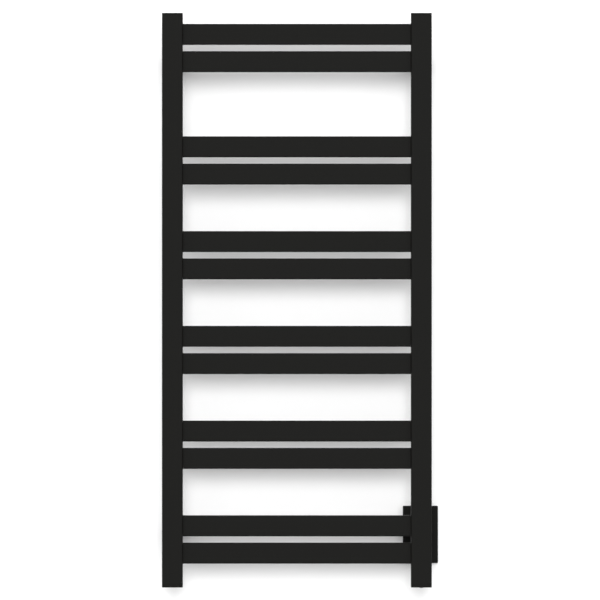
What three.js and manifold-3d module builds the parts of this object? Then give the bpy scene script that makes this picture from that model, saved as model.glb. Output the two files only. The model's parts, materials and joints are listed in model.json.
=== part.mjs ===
// A wall-hung electric towel rail: two box-section posts joined by twelve flat hollow crossbars in six pairs,
// held off the wall by four square legs. The lower right leg also brings the mains lead in from a wall box.
// Millimetres, +Z up, +X to the right as seen from the front, +Y into the wall. The origin is the middle of
// the four wall brackets, on the face of the wall, so the whole rail lies at negative Y.

import * as THREE from "three";
import { mergeVertices } from "three/addons/utils/BufferGeometryUtils.js";
import Module from "manifold-3d";

const wasm = await Module();
wasm.setup();

// ---------------------------------------------------------------- driving dimensions

const GAP = 0.3; // room left between two pieces that touch or are welded

const RAIL_HEIGHT = 1136;
const POST_SPACING = 492.5; // from one post's centre to the other's
const STAND_OFF = 80; // from the wall to the back of the posts
const POST = { width: 41, depth: 30, wall: 1.5, corner: 2.5 };
const BAR = { height: 41.5, depth: 12, wall: 1.2, corner: 2 };
const BAR_PITCH = 54; // between the two bars of a pair
const PAIR_PITCH = 187.5; // between one pair and the next
const TOP_PAIR_PITCH = 222.5; // the top pair stands further up, for a folded bath towel
const LOWEST_PAIR = -473.5;
const PAIRS = 6;
const TENON = 3; // how far a bar's end runs into its post

const BRACKET_SPAN = 934; // from the lower brackets to the upper ones
const DEPTH_TRAVEL = 10; // how far the rail can be drawn out along its wall stubs
const LEG = { size: 26, wall: 3, corner: 2, start: 5, end_plate: 3 };
const STUB = { size: LEG.size - 2 * LEG.wall - 2 * GAP, wall: 2.2, corner: 1, reach: 38 };
const FLANGE = { size: 31, thick: 4, hole: 2.75 };
const ROSETTE = { size: 36, wall: 1.6, corner: 2.5, depth: LEG.start + DEPTH_TRAVEL + 2 };
const SET_SCREW = { radius: 2.5, length: 3.4, socket: 1.45, from_wall: 24 };

const COVER = { width: 70, height: 114, depth: 8, wall: 1.5, corner: 2 }; // single-gang wall plate
const COLLAR = { size: LEG.size + 4, corner: 3.5 };
const COVER_SCREW = { radius: 1.5, spacing: 60.3 };
const STRAP = { width: 33, height: 106, thick: 2, slot_spacing: 83.3, slot_radius: 2 };
const LEAD_HOLE = 6;

const CAP = { plate: 4, skirt: 8, wall: 1.2 };
const BOLT_REACH = 10; // past the post's back face
const BOLT = { radius: 4, head_radius: 6.5, head: 8, socket: 3.4 };
const HOLLOW_BOLT = { radius: 5, head_radius: 8, head: 5, bore: 3.4 };
const WELD_NUT = { radius: 8, height: 7 }; // the nuts are welded inside the posts

// The push switch is in the bottom cap of the right post. Its heights are above its own face.
const SWITCH = {
  flange: 9,
  flange_height: 1.8,
  barrel: 7.9,
  bore: 6.2,
  length: 24,
  button: 4.6,
  shoulder: 3.2,
  stem: 2.2,
  stem_top: 13,
  base_low: 12.3,
  base_high: 26,
  blade: 5,
  travel: 1.5,
};
const SPRING = { radius: 3.4, wire: 0.35, low: 3.9, high: 11.6, turns: 5 };

const CABLE_RADIUS = 2.75;
const CABLE_BEND = 10;
const LEAD_RADIUS = 3;
const WIRE_RADIUS = 1.4;
const TERMINAL = { width: 20, depth: 16, low: -440, high: -412 };
const CUTOUT = { width: 9, depth: 5.5, low: -495, high: -473 };
const COLD_JOINT = { low: -524, high: -511.2 };
const EARTH = { radius: 2, z: -385 };

// ---------------------------------------------------------------- places worked out from them

const POST_X = POST_SPACING / 2;
const POST_Y = -(STAND_OFF + POST.depth / 2);
const INNER_FACE = POST_X - POST.width / 2; // the face of a post that the bars run into
const BRACKET_Z = BRACKET_SPAN / 2;
const BOTTOM = -RAIL_HEIGHT / 2;
const HEAD_SEAT = STAND_OFF - GAP - LEG.end_plate - GAP; // from the wall to the underside of a bolt's head
const CABLE_POST_X = INNER_FACE + 12; // the cable's climbs stand in the inner half of each post
const CABLE_END = INNER_FACE - 26; // where the twin-core cable stops, near the right end of the top bar
const TERMINAL_AT = [POST_X + 8, POST_Y - 1];
const CUTOUT_AT = [POST_X + 12, POST_Y - 8];
const EARTH_X = POST_X + 8;

const pairHeights = Array.from({ length: PAIRS - 1 }, (_, i) => LOWEST_PAIR + i * PAIR_PITCH);
pairHeights.push(pairHeights.at(-1) + TOP_PAIR_PITCH);
const barHeights = pairHeights.flatMap((z) => [z - BAR_PITCH / 2, z + BAR_PITCH / 2]); // lowest bar first

// ---------------------------------------------------------------- materials

const paint = (color, roughness, metalness = 0) =>
  new THREE.MeshStandardMaterial({ color, roughness, metalness });
const powderCoat = paint(0x232322, 0.55, 0.1);
const zincSteel = paint(0xb4b6b4, 0.35, 1);
const blackSteel = paint(0x2a2a2a, 0.4, 0.8);
const nylon = paint(0xe6e3d8, 0.55);
const blackNylon = paint(0x191919, 0.5);
const leadSheath = paint(0x33363a, 0.7);
const heaterSilicone = paint(0x8c3a26, 0.7);
const wireSilicone = paint(0xc9c5ba, 0.65);
const earthSilicone = paint(0x3f7a36, 0.65);
const lightPipe = paint(0xd8e4ee, 0.3);

// ---------------------------------------------------------------- shapes

function roundedRect(width, height, radius) {
  const x = width / 2 - radius;
  const y = height / 2 - radius;
  return new THREE.Shape()
    .absarc(x, y, radius, 0, Math.PI / 2)
    .absarc(-x, y, radius, Math.PI / 2, Math.PI)
    .absarc(-x, -y, radius, Math.PI, 1.5 * Math.PI)
    .absarc(x, -y, radius, 1.5 * Math.PI, 2 * Math.PI);
}

const square = (size, corner) => roundedRect(size, size, corner);

const polygon = (radius, sides) =>
  new THREE.Shape(
    Array.from({ length: sides }, (_, i) => {
      const angle = (2 * Math.PI * i) / sides;
      return new THREE.Vector2(radius * Math.cos(angle), radius * Math.sin(angle));
    }),
  );

// Extrusions along the three axes. Outward runs away from the wall, from a distance in front of it.
const extrude = (shape, depth) =>
  new THREE.ExtrudeGeometry(shape, { depth, bevelEnabled: false, curveSegments: 2 });
const upward = (shape, height, from = 0) => extrude(shape, height).translate(0, 0, from);
const outward = (shape, depth, from = 0) =>
  extrude(shape, depth).rotateX(Math.PI / 2).translate(0, -from, 0);
const sideways = (shape, length) =>
  extrude(shape, length)
    .translate(0, 0, -length / 2)
    .rotateY(Math.PI / 2)
    .rotateX(Math.PI / 2);

// Discs between two heights, or between two distances in front of the wall.
const upDisc = (radius, low, high, sides = 16) =>
  new THREE.CylinderGeometry(radius, radius, high - low, sides)
    .rotateX(Math.PI / 2)
    .translate(0, 0, (low + high) / 2);
const outDisc = (radius, near, far, sides = 16) =>
  new THREE.CylinderGeometry(radius, radius, far - near, sides).translate(0, -(near + far) / 2, 0);

// A profile of [radius, height] points, turned about +Z or about the line out of the wall.
const lathe = (profile, sides) =>
  new THREE.LatheGeometry(
    profile.map(([radius, height]) => new THREE.Vector2(radius, height)),
    sides,
  );
const upTurned = (profile, sides = 16) => lathe(profile, sides).rotateX(Math.PI / 2);
const outTurned = (profile, sides = 16) => lathe(profile, sides).rotateX(Math.PI);

// ---------------------------------------------------------------- booleans

function solid(geometry) {
  const bare = geometry.index ? geometry.toNonIndexed() : geometry.clone();
  bare.deleteAttribute("normal");
  bare.deleteAttribute("uv");
  const merged = mergeVertices(bare, 1e-4);
  return new wasm.Manifold(
    new wasm.Mesh({
      numProp: 3,
      vertProperties: merged.attributes.position.array,
      triVerts: new Uint32Array(merged.index.array),
    }),
  );
}

function geometryOf(manifold) {
  const { vertProperties, triVerts } = manifold.getMesh();
  return new THREE.BufferGeometry()
    .setAttribute("position", new THREE.BufferAttribute(new Float32Array(vertProperties), 3))
    .setIndex(new THREE.BufferAttribute(new Uint32Array(triVerts), 1))
    .toNonIndexed();
}

const join = (...pieces) => pieces.map(solid).reduce((sum, piece) => sum.add(piece));
const cut = (base, ...holes) =>
  geometryOf(holes.map(solid).reduce((left, hole) => left.subtract(hole), base));

// ---------------------------------------------------------------- routes for the cable and the leads

// A route through corner points, each rounded by an arc. The steps of a sweep along it follow its points and
// not its length, so a long straight run costs no more than a short one.
class Route extends THREE.Curve {
  constructor(corners, bend, stepsPerBend) {
    super();
    const at = corners.map((corner) => new THREE.Vector3(...corner));
    this.points = [at[0]];
    for (let i = 1; i < at.length - 1; i++) {
      const back = at[i - 1].clone().sub(at[i]).normalize();
      const on = at[i + 1].clone().sub(at[i]).normalize();
      const half = Math.PI / 2 - back.angleTo(on) / 2; // half of the angle that the route turns through
      const centre = back
        .clone()
        .add(on)
        .normalize()
        .multiplyScalar(bend / Math.cos(half))
        .add(at[i]);
      const start = at[i]
        .clone()
        .addScaledVector(back, bend * Math.tan(half))
        .sub(centre);
      const axis = start.clone().cross(back.clone().negate()).normalize();
      for (let k = 0; k <= stepsPerBend; k++)
        this.points.push(start.clone().applyAxisAngle(axis, (2 * half * k) / stepsPerBend).add(centre));
    }
    this.points.push(at.at(-1));
  }
  get steps() {
    return this.points.length - 1;
  }
  getPoint(t) {
    return this.points[Math.round(t * this.steps)].clone();
  }
  getTangent(t) {
    const i = Math.round(t * this.steps);
    const [before, here, after] = [this.points[i - 1], this.points[i], this.points[i + 1]];
    const tangent = new THREE.Vector3();
    if (before) tangent.add(here.clone().sub(before).normalize());
    if (after) tangent.add(after.clone().sub(here).normalize());
    return tangent.normalize();
  }
  getPointAt(t) {
    return this.getPoint(t);
  }
  getTangentAt(t) {
    return this.getTangent(t);
  }
}

const sweep = (route, radius, sides = 8) =>
  new THREE.ExtrudeGeometry(polygon(radius, sides), { steps: route.steps, extrudePath: route });

// ---------------------------------------------------------------- scene graph

const part = new THREE.Group();

function place(parent, name, geometry, material) {
  const mesh = new THREE.Mesh(geometry, material);
  mesh.name = name;
  parent.add(mesh);
  return mesh;
}

function groupAt(x, y, z) {
  const group = new THREE.Group();
  group.position.set(x, y, z);
  part.add(group);
  return group;
}

// ---------------------------------------------------------------- the frame

const POST_END = RAIL_HEIGHT / 2 - CAP.plate - GAP;
const postOutline = (inset = 0) =>
  roundedRect(POST.width - 2 * inset, POST.depth - 2 * inset, Math.max(POST.corner - inset, 0.8));

// The lower right bolt is the hollow one, and the posts, the legs and their holes follow from it.
const boltAt = (side, z) => (side > 0 && z < 0 ? HOLLOW_BOLT : BOLT);

// side is -1 for the left post and 1 for the right one. The bars enter through the face that looks inwards.
function post(side) {
  const back = POST.depth / 2;
  const atBack = (geometry, z, x = 0) => geometry.translate(x, back, z);
  let body = solid(upward(postOutline(), 2 * POST_END, -POST_END)).subtract(
    solid(upward(postOutline(POST.wall), 2 * POST_END + 2, -POST_END - 1)),
  );
  const slot = roundedRect(BAR.depth + 2 * GAP, BAR.height + 2 * GAP, BAR.corner + GAP);
  const holes = barHeights.map((z) =>
    sideways(slot, 4 * POST.wall).translate((-side * POST.width) / 2, 0, z),
  );
  for (const z of [-BRACKET_Z, BRACKET_Z]) {
    body = body.add(solid(atBack(outDisc(WELD_NUT.radius, POST.wall - 0.2, POST.wall + WELD_NUT.height), z)));
    holes.push(atBack(outDisc(boltAt(side, z).radius + GAP, -1, POST.wall + WELD_NUT.height + 1), z));
  }
  if (side > 0) holes.push(atBack(outDisc(EARTH.radius + GAP, -1, POST.wall + 1), EARTH.z, EARTH_X - POST_X));
  return cut(body, ...holes);
}

function crossbar() {
  const outline = roundedRect(BAR.depth, BAR.height, BAR.corner);
  outline.holes.push(
    roundedRect(BAR.depth - 2 * BAR.wall, BAR.height - 2 * BAR.wall, BAR.corner - BAR.wall / 2),
  );
  return sideways(outline, 2 * (INNER_FACE + TENON));
}

// A plate over the end of a post, with a hollow skirt inside it. It is drawn for the top end.
function endCap() {
  const inset = POST.wall + GAP;
  return cut(
    join(
      upward(postOutline(), CAP.plate, -CAP.plate),
      upward(postOutline(inset), CAP.skirt + 1, -CAP.plate - CAP.skirt),
    ),
    upward(postOutline(inset + CAP.wall), CAP.skirt, -CAP.plate - CAP.skirt - 0.01),
  );
}

// ---------------------------------------------------------------- the wall brackets

// Each piece of a bracket is drawn about the bracket's own centre line.
const stubTube = (from) => outward(square(STUB.size, STUB.corner), STUB.reach - from, from);
const stubBore = (from) => outward(square(STUB.size - 2 * STUB.wall, STUB.corner / 2), STUB.reach, from);

function wallStub() {
  return cut(
    join(outward(square(FLANGE.size, 2), FLANGE.thick), stubTube(FLANGE.thick - 1)),
    stubBore(FLANGE.thick),
    outDisc(FLANGE.hole, -1, FLANGE.thick + 1),
    outTurned([
      [0, FLANGE.thick - 2.6],
      [FLANGE.hole, FLANGE.thick - 2.6],
      [2 * FLANGE.hole, FLANGE.thick + 0.01],
      [0, FLANGE.thick + 0.01],
    ]),
  );
}

// The lower right stub stands on a strap that spans a wall box, and it is open to the box for the lead.
function boxStub() {
  const slot = new THREE.Shape()
    .absarc(STRAP.slot_radius, 0, STRAP.slot_radius, -Math.PI / 2, Math.PI / 2)
    .absarc(-STRAP.slot_radius, 0, STRAP.slot_radius, Math.PI / 2, 1.5 * Math.PI);
  const pairAt = (geometry, spacing) =>
    [-1, 1].map((side) => geometry.clone().translate(0, 0, (side * spacing) / 2));
  return cut(
    join(outward(roundedRect(STRAP.width, STRAP.height, 4), STRAP.thick), stubTube(STRAP.thick - 1)),
    stubBore(STRAP.thick),
    outDisc(LEAD_HOLE, -1, STRAP.thick + 1),
    ...pairAt(outward(slot, STRAP.thick + 2, -1), STRAP.slot_spacing),
    ...pairAt(outDisc(COVER_SCREW.radius + GAP, -1, STRAP.thick + 1, 12), COVER_SCREW.spacing),
  );
}

const legHole = () => outward(square(LEG.size + 2 * GAP, LEG.corner + GAP), ROSETTE.depth + 2, -1);

function rosette() {
  const front = ROSETTE.depth - ROSETTE.wall;
  return cut(
    solid(outward(square(ROSETTE.size, ROSETTE.corner), ROSETTE.depth)),
    outward(square(ROSETTE.size - 2 * ROSETTE.wall, ROSETTE.corner - 1), front + 1, -1),
    legHole(),
  );
}

function junctionCover() {
  const hollow = COVER.depth - COVER.wall;
  const inside = [COVER.width - 2 * COVER.wall, COVER.height - 2 * COVER.wall, COVER.corner - COVER.wall];
  const screwHole = (z) =>
    outTurned([
      [0, hollow - 1],
      [COVER_SCREW.radius + 0.5, hollow - 1],
      [COVER_SCREW.radius + 0.5, hollow],
      [COVER_SCREW.radius + 2.5, hollow + 2],
      [0, hollow + 2],
    ]).translate(0, 0, z);
  return cut(
    join(
      outward(roundedRect(COVER.width, COVER.height, COVER.corner), COVER.depth),
      outward(square(COLLAR.size, COLLAR.corner), ROSETTE.depth - hollow, hollow),
    ),
    outward(roundedRect(...inside), hollow + 1, -1),
    legHole(),
    screwHole(COVER_SCREW.spacing / 2),
    screwHole(-COVER_SCREW.spacing / 2),
  );
}

function coverScrew() {
  const head = COVER.depth - 0.3;
  return cut(
    solid(
      outTurned([
        [0, 0.5],
        [COVER_SCREW.radius - 0.3, 0.5],
        [COVER_SCREW.radius, 0.8],
        [COVER_SCREW.radius, head - 1.3],
        [COVER_SCREW.radius + 1.3, head],
        [0, head],
      ]),
    ),
    new THREE.BoxGeometry(0.8, 0.9, 8).translate(0, -head, 0),
  );
}

// A leg is a square tube with a plate across its front end, bolted to the post from inside the leg.
function leg(bolt) {
  const front = STAND_OFF - GAP;
  const underside = -LEG.size / 2;
  const screwHole = upDisc(SET_SCREW.radius + GAP, underside - 1, underside + LEG.wall + 1);
  return cut(
    solid(outward(square(LEG.size, LEG.corner), front - LEG.start, LEG.start)),
    outward(square(LEG.size - 2 * LEG.wall, 1), front - LEG.end_plate - LEG.start + 1, LEG.start - 1),
    outDisc(bolt.radius + GAP, front - LEG.end_plate - 1, front + 1),
    screwHole.translate(0, -SET_SCREW.from_wall, 0),
  );
}

function legBolt() {
  const head = HEAD_SEAT - BOLT.head;
  const tip = STAND_OFF + BOLT_REACH;
  return cut(
    solid(
      outTurned([
        [0, head],
        [BOLT.head_radius - 0.5, head],
        [BOLT.head_radius, head + 0.5],
        [BOLT.head_radius, HEAD_SEAT],
        [BOLT.radius, HEAD_SEAT],
        [BOLT.radius, tip - 1],
        [BOLT.radius - 1, tip],
        [0, tip],
      ]),
    ),
    outDisc(BOLT.socket, head - 1, head + BOLT.head / 2, 6),
  );
}

// The lower right leg's bolt is hollow, so that the lead can pass through it into the post.
function hollowLegBolt() {
  const head = HEAD_SEAT - HOLLOW_BOLT.head;
  const tip = STAND_OFF + BOLT_REACH;
  return cut(
    join(
      outDisc(HOLLOW_BOLT.head_radius, head, HEAD_SEAT, 6),
      outDisc(HOLLOW_BOLT.radius, HEAD_SEAT - 1, tip),
    ),
    outDisc(HOLLOW_BOLT.bore, head - 1, tip + 1),
  );
}

// A set screw comes up through the underside of the leg, and its tip stops just short of the stub.
function setScrew() {
  const tip = -LEG.size / 2 + LEG.wall - 0.1;
  const low = tip - SET_SCREW.length;
  return cut(
    solid(upDisc(SET_SCREW.radius, low, tip)),
    upDisc(SET_SCREW.socket, low - 1, low + SET_SCREW.length / 2, 6),
  ).translate(0, -SET_SCREW.from_wall, 0);
}

// A snap-in bushing in the strap's hole, which the lead comes in through.
function leadBushing() {
  const bore = LEAD_RADIUS + 0.5;
  const flange = STRAP.thick + GAP;
  return outTurned([
    [bore, GAP],
    [LEAD_HOLE - GAP, GAP],
    [LEAD_HOLE - GAP, flange],
    [LEAD_HOLE + 0.9, flange],
    [LEAD_HOLE + 0.9, flange + 1.5],
    [bore, flange + 1.5],
    [bore, GAP],
  ]);
}

// ---------------------------------------------------------------- the push switch

// The bottom right cap has a stepped hole, so that the switch's flange lies flush in it.
function switchCap() {
  return cut(
    solid(endCap().rotateX(Math.PI)),
    upDisc(SWITCH.flange + GAP, -1, SWITCH.flange_height + GAP, 28),
    upDisc(SWITCH.barrel + GAP, -1, CAP.plate + 1, 28),
  );
}

function switchBezel() {
  return upTurned(
    [
      [SWITCH.bore, 0],
      [SWITCH.flange - 0.5, 0],
      [SWITCH.flange, 0.5],
      [SWITCH.flange, SWITCH.flange_height],
      [SWITCH.barrel, SWITCH.flange_height],
      [SWITCH.barrel, SWITCH.length],
      [SWITCH.bore, SWITCH.length],
      [SWITCH.bore, 0],
    ],
    28,
  );
}

function switchLightRing() {
  const [inner, outer] = [SWITCH.button + GAP, SWITCH.bore - GAP];
  return upTurned([[inner, 0.3], [outer, 0.3], [outer, 5], [inner, 5], [inner, 0.3]], 28);
}

function switchLocknut() {
  const seat = CAP.plate + GAP;
  return cut(
    solid(upDisc(SWITCH.barrel + 2.7, seat, seat + 3, 6)),
    upDisc(SWITCH.barrel + GAP, 0, seat + 4, 28),
  );
}

// The button is a shallow dome on a stem, which slides in the switch's base. It stands proud by its travel.
function switchButton() {
  return upTurned(
    [
      [0, -SWITCH.travel],
      [SWITCH.button - 1.6, -SWITCH.travel + 0.15],
      [SWITCH.button - 0.4, -SWITCH.travel + 0.6],
      [SWITCH.button, -SWITCH.travel + 1.2],
      [SWITCH.button, SWITCH.shoulder],
      [SWITCH.stem, SWITCH.shoulder],
      [SWITCH.stem, SWITCH.stem_top],
      [0, SWITCH.stem_top],
    ],
    24,
  );
}

class Coil extends THREE.Curve {
  getPoint(t) {
    const angle = 2 * Math.PI * SPRING.turns * t;
    return new THREE.Vector3(
      SPRING.radius * Math.cos(angle),
      SPRING.radius * Math.sin(angle),
      SPRING.low + (SPRING.high - SPRING.low) * t,
    );
  }
}

const switchSpring = () =>
  new THREE.ExtrudeGeometry(polygon(SPRING.wire, 6), { steps: SPRING.turns * 10, extrudePath: new Coil() });

function switchBase() {
  const { base_low: low, base_high: high } = SWITCH;
  const blade = (x) => new THREE.BoxGeometry(0.8, 3, 2 * SWITCH.blade).translate(x, 0, high);
  return cut(
    join(upDisc(SWITCH.bore - GAP, low, high), blade(-2.5), blade(2.5)),
    upDisc(SWITCH.stem + GAP, low - 1, SWITCH.stem_top + SWITCH.travel + 1),
  );
}

// ---------------------------------------------------------------- heating and wiring

// One twin-core heating cable runs through every bar in turn, from the bottom right to the top.
function heatingCable() {
  const corners = [[CABLE_POST_X, POST_Y, COLD_JOINT.high + GAP]];
  let side = 1;
  for (const z of barHeights) {
    corners.push([side * CABLE_POST_X, POST_Y, z], [-side * CABLE_POST_X, POST_Y, z]);
    side = -side;
  }
  corners.at(-1)[0] = CABLE_END;
  return sweep(new Route(corners, CABLE_BEND, 3), CABLE_RADIUS, 6);
}

const cableEndSeal = () =>
  upTurned([[0, 0], [3, 0], [4, 1.5], [4, 18], [3, 21], [0, 21]], 12).rotateY(Math.PI / 2);

// A crimped sleeve with a ridge at each end.
function coldJoint() {
  const length = COLD_JOINT.high - COLD_JOINT.low;
  const half = [[0, 0], [3, 0], [3.9, 1], [3.9, 3.6], [3.3, 4.4]];
  return upTurned([...half, ...half.map(([radius, height]) => [radius, length - height]).reverse()], 12);
}

function terminalBlock() {
  const height = TERMINAL.high - TERMINAL.low;
  const wells = [-6.2, 0, 6.2].flatMap((x) =>
    [7, height - 7].map((z) => outDisc(2.1, -5, 2, 10).translate(x, -TERMINAL.depth / 2, z)),
  );
  return cut(solid(upward(roundedRect(TERMINAL.width, TERMINAL.depth, 1.5), height)), ...wells);
}

const overheatCutout = () => upward(roundedRect(CUTOUT.width, CUTOUT.depth, 1.2), CUTOUT.high - CUTOUT.low);

// The lead runs straight through the lower right leg and its hollow bolt, then turns up to the terminals.
function supplyLead() {
  const y = POST_Y - 5;
  const corners = [[POST_X, -0.6, -BRACKET_Z], [POST_X, y, -BRACKET_Z], [POST_X, y, TERMINAL.low - GAP]];
  return sweep(new Route(corners, 10, 5), LEAD_RADIUS, 10);
}

function switchLead() {
  const [x, y] = [POST_X + 13.5, POST_Y + 3];
  const blade = [POST_X + 2.5, POST_Y];
  const bladeTop = BOTTOM + SWITCH.base_high + SWITCH.blade + GAP;
  const corners = [
    [x, y, TERMINAL.low - GAP],
    [x, y, bladeTop + 19],
    [...blade, bladeTop + 11],
    [...blade, bladeTop],
  ];
  return sweep(new Route(corners, 5, 3), WIRE_RADIUS);
}

function cutoutLead() {
  const [x, y] = CUTOUT_AT;
  const corners = [
    [x, y + 3, TERMINAL.low - GAP],
    [x, y + 3, TERMINAL.low - 10],
    [x, y, CUTOUT.high + 10],
    [x, y, CUTOUT.high + GAP],
  ];
  return sweep(new Route(corners, 6, 2), WIRE_RADIUS);
}

function coldLead() {
  const low = COLD_JOINT.low - 8;
  const corners = [
    [...CUTOUT_AT, CUTOUT.low - GAP],
    [...CUTOUT_AT, low],
    [CABLE_POST_X, POST_Y, low],
    [CABLE_POST_X, POST_Y, COLD_JOINT.low - GAP],
  ];
  return sweep(new Route(corners, 4.5, 3), WIRE_RADIUS);
}

// A ring lug on the post's inner back face, with its crimped wire, which leads down to the terminals.
function earthLead() {
  const [near, far] = [STAND_OFF + POST.wall + GAP, STAND_OFF + POST.wall + GAP + 1.2];
  const lug = outDisc(4.2, near, far).translate(EARTH_X, 0, EARTH.z);
  const tongue = new THREE.BoxGeometry(3, far - near, 12).translate(EARTH_X, -(near + far) / 2, EARTH.z - 8);
  const corners = [
    [EARTH_X, -far - 0.3, EARTH.z - 9],
    [EARTH_X, -far - 0.3, EARTH.z - 16],
    [EARTH_X, POST_Y, EARTH.z - 20],
    [EARTH_X, POST_Y, TERMINAL.high + GAP],
  ];
  return cut(
    join(lug, tongue, sweep(new Route(corners, 2.5, 3), WIRE_RADIUS)),
    outDisc(EARTH.radius + GAP, near - 2, far + 2).translate(EARTH_X, 0, EARTH.z),
  );
}

// Driven from outside, so that its slotted head shows on the back of the post.
function earthScrew() {
  return cut(
    solid(outTurned([[0, -2.4], [2.6, -2.2], [3.6, -1.2], [3.6, -GAP], [2, -GAP], [2, 7], [0, 7]], 14)),
    new THREE.BoxGeometry(8, 1.4, 0.9).translate(0, 2.4, 0),
  );
}

// ---------------------------------------------------------------- putting it together

for (const [name, side] of [["left", -1], ["right", 1]]) {
  const group = groupAt(side * POST_X, POST_Y, 0);
  place(group, `${name}_post`, post(side), powderCoat);
  place(group, `top_${name}_cap`, endCap(), powderCoat).position.z = RAIL_HEIGHT / 2;
}
place(groupAt(-POST_X, POST_Y, BOTTOM), "bottom_left_cap", endCap().rotateX(Math.PI), powderCoat);

// The bars are numbered from the top.
[...barHeights].reverse().forEach((z, i) => {
  place(groupAt(0, POST_Y, z), `crossbar_${String(i + 1).padStart(2, "0")}`, crossbar(), powderCoat);
});

const switchGroup = groupAt(POST_X, POST_Y, BOTTOM);
place(switchGroup, "bottom_right_cap", switchCap(), powderCoat);
place(switchGroup, "switch_bezel", switchBezel(), blackSteel);
place(switchGroup, "switch_locknut", switchLocknut(), zincSteel);
place(switchGroup, "switch_light_ring", switchLightRing(), lightPipe);
place(switchGroup, "switch_button", switchButton(), blackSteel);
place(switchGroup, "switch_spring", switchSpring(), zincSteel);
place(switchGroup, "switch_base", switchBase(), blackNylon);

for (const [row, z] of [["upper", BRACKET_Z], ["lower", -BRACKET_Z]])
  for (const [column, side] of [["left", -1], ["right", 1]]) {
    const where = `${row}_${column}`;
    const bolt = boltAt(side, z);
    const wired = bolt === HOLLOW_BOLT; // the lead comes in through this bracket
    const bracket = groupAt(side * POST_X, 0, z);
    place(bracket, `wall_stub_${where}`, wired ? boxStub() : wallStub(), zincSteel);
    place(bracket, `leg_${where}`, leg(bolt), powderCoat);
    place(bracket, `leg_bolt_${where}`, wired ? hollowLegBolt() : legBolt(), zincSteel);
    place(bracket, `set_screw_${where}`, setScrew(), blackSteel);
    if (!wired) {
      place(bracket, `rosette_${where}`, rosette(), powderCoat);
      continue;
    }
    place(bracket, "junction_cover", junctionCover(), powderCoat);
    place(bracket, "cover_screw_upper", coverScrew(), blackSteel).position.z = COVER_SCREW.spacing / 2;
    place(bracket, "cover_screw_lower", coverScrew(), blackSteel).position.z = -COVER_SCREW.spacing / 2;
    place(bracket, "lead_bushing", leadBushing(), blackNylon);
  }

place(part, "heating_cable", heatingCable(), heaterSilicone);
place(groupAt(CABLE_END + GAP, POST_Y, barHeights.at(-1)), "cable_end_seal", cableEndSeal(), heaterSilicone);
place(groupAt(CABLE_POST_X, POST_Y, COLD_JOINT.low), "cold_joint", coldJoint(), heaterSilicone);
place(groupAt(...TERMINAL_AT, TERMINAL.low), "terminal_block", terminalBlock(), nylon);
place(groupAt(...CUTOUT_AT, CUTOUT.low), "overheat_cutout", overheatCutout(), nylon);
place(part, "supply_lead", supplyLead(), leadSheath);
place(part, "switch_lead", switchLead(), wireSilicone);
place(part, "cutout_lead", cutoutLead(), wireSilicone);
place(part, "cold_lead", coldLead(), wireSilicone);
place(part, "earth_lead", earthLead(), earthSilicone);
place(groupAt(EARTH_X, -STAND_OFF, EARTH.z), "earth_screw", earthScrew(), zincSteel);

export default part;
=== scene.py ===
import json
import math

import bmesh
import bpy
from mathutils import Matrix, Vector


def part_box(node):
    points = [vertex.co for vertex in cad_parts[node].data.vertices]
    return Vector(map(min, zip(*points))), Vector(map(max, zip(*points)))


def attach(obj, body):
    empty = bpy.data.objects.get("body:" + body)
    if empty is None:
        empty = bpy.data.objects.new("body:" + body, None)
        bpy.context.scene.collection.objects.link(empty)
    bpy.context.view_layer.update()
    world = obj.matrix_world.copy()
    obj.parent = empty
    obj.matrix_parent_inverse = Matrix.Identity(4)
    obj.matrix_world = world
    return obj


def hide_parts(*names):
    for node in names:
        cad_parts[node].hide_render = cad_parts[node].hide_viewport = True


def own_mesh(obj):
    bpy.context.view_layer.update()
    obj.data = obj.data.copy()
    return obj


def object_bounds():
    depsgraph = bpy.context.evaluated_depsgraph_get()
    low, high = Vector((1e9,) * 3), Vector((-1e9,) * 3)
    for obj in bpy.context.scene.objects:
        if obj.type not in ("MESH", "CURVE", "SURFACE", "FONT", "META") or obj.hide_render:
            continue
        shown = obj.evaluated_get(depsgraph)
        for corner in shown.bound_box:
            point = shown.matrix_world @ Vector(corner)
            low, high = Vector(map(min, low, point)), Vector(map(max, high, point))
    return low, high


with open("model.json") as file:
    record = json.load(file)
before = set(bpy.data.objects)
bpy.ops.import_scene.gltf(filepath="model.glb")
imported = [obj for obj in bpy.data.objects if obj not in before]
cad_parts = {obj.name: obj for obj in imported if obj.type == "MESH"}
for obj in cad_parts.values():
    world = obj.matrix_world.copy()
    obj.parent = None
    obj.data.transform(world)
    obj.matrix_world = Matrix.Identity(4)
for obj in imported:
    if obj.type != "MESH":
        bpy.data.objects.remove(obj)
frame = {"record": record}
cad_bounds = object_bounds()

# The looks of a wall-hung electric towel rail. Shapes are drawn in millimetres about a centre
# that comes from the frame, and each one stands for the CAD node of its own name.

MM = 0.001
ROUND_STEPS = 6  # facets in a quarter of a rounded corner
ROUND_SIDES, FINE_SIDES = 64, 96  # of a circle
LEAST_RADIUS = 0.05  # of a rounded corner, so that its points stay apart
MERGE = 0.002  # points closer than this become one after a boolean
FLAT_WITHIN, SHARP_FROM, SMOOTH_BELOW = 0.5, 40, 35  # angles between two faces, in degrees
SOFT_EDGE, FINE_EDGE = 0.25, 0.2  # how far an ordinary edge and a small one are broken
PAST = 1  # how far a cutter reaches past the face that it cuts

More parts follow.
